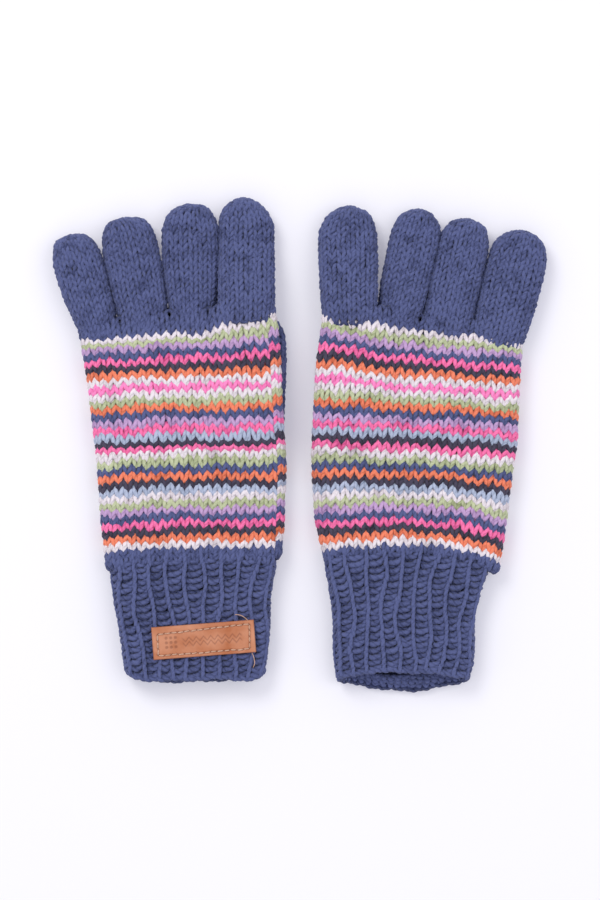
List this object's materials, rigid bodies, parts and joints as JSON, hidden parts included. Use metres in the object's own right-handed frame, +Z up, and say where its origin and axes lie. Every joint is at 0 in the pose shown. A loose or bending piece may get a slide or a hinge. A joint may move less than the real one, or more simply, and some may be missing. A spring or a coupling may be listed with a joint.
{
  "type": "knitted gloves",
  "caption": "A pair of knitted wool gloves with striped hands, plain fingers, ribbed cuffs and a stitched leather label, lying flat.",
  "frame": {"origin": "middle of the pair, on the surface that the gloves lie on", "axes": "+Y towards the fingertips, +Z up off the surface, +X from the left glove to the right glove"},
  "size_m": [0.2459, 0.246, 0.0203],
  "materials": {
    "navy_wool": "knitted wool, plain",
    "white_wool": "knitted wool, plain",
    "green_wool": "knitted wool, plain",
    "lilac_wool": "knitted wool, plain",
    "pink_wool": "knitted wool, plain",
    "charcoal_wool": "knitted wool, plain",
    "orange_wool": "knitted wool, plain",
    "rose_wool": "knitted wool, plain",
    "sky_wool": "knitted wool, plain",
    "tan_leather": "smooth, embossed",
    "tan_thread": "twisted thread"
  },
  "bodies": {
    "left_hand": {"left_hand": "pink_wool"},
    "left_cuff": {"left_cuff": "navy_wool", "leather_label": "tan_leather", "label_stitching": "tan_thread"},
    "left_little": {"left_little": "navy_wool"},
    "left_ring": {"left_ring": "navy_wool"},
    "left_middle": {"left_middle": "navy_wool"},
    "left_index": {"left_index": "navy_wool"},
    "left_thumb": {"left_thumb": "navy_wool"},
    "right_hand": {"right_hand": "pink_wool"},
    "right_cuff": {"right_cuff": "navy_wool"},
    "right_index": {"right_index": "navy_wool"},
    "right_middle": {"right_middle": "navy_wool"},
    "right_ring": {"right_ring": "navy_wool"},
    "right_little": {"right_little": "navy_wool"},
    "right_thumb": {"right_thumb": "navy_wool"}
  },
  "joints": [
    {"name": "left_wrist", "type": "hinge", "parent": "left_hand", "child": "left_cuff", "pos_m": [-0.053, -0.05375, 0.007], "axis": [0.9999, 0.0167, 0], "range_deg": [-35, 35]},
    {"name": "left_little_knuckle", "type": "hinge", "parent": "left_hand", "child": "left_little", "pos_m": [-0.1015, 0.06175, 0.0065], "axis": [0.9778, 0.2095, 0], "range_deg": [-70, 35]},
    {"name": "left_ring_knuckle", "type": "hinge", "parent": "left_hand", "child": "left_ring", "pos_m": [-0.07825, 0.06575, 0.0065], "axis": [0.9907, 0.136, 0], "range_deg": [-70, 35]},
    {"name": "left_middle_knuckle", "type": "hinge", "parent": "left_hand", "child": "left_middle", "pos_m": [-0.05325, 0.0685, 0.0065], "axis": [0.9967, 0.0814, 0], "range_deg": [-70, 35]},
    {"name": "left_index_knuckle", "type": "hinge", "parent": "left_hand", "child": "left_index", "pos_m": [-0.0265, 0.07, 0.01375], "axis": [0.9994, 0.0345, 0], "range_deg": [-60, 35]},
    {"name": "left_thumb_fold", "type": "hinge", "parent": "left_hand", "child": "left_thumb", "pos_m": [-0.0215, 0.01, 0.0045], "axis": [1, 0, 0], "range_deg": [-50, 0]},
    {"name": "right_wrist", "type": "hinge", "parent": "right_hand", "child": "right_cuff", "pos_m": [0.0554, -0.0545, 0.007], "axis": [0.999, -0.0438, 0], "range_deg": [-35, 35]},
    {"name": "right_index_knuckle", "type": "hinge", "parent": "right_hand", "child": "right_index", "pos_m": [0.0245, 0.06575, 0.01375], "axis": [0.9998, -0.0179, 0], "range_deg": [-60, 35]},
    {"name": "right_middle_knuckle", "type": "hinge", "parent": "right_hand", "child": "right_middle", "pos_m": [0.04925, 0.0635, 0.0065], "axis": [0.9831, -0.1829, 0], "range_deg": [-70, 35]},
    {"name": "right_ring_knuckle", "type": "hinge", "parent": "right_hand", "child": "right_ring", "pos_m": [0.07275, 0.059, 0.0065], "axis": [0.9813, -0.1924, 0], "range_deg": [-70, 35]},
    {"name": "right_little_knuckle", "type": "hinge", "parent": "right_hand", "child": "right_little", "pos_m": [0.09875, 0.05375, 0.0065], "axis": [0.9791, -0.2032, 0], "range_deg": [-70, 35]},
    {"name": "right_thumb_fold", "type": "hinge", "parent": "right_hand", "child": "right_thumb", "pos_m": [0.022, 0.008, 0.0045], "axis": [1, 0, 0], "range_deg": [-50, 0]},
    {"name": "pair_spacing", "type": "slide", "parent": "left_hand", "child": "right_hand", "axis": [1, 0, 0], "range_m": [0, 0.1]}
  ]
}
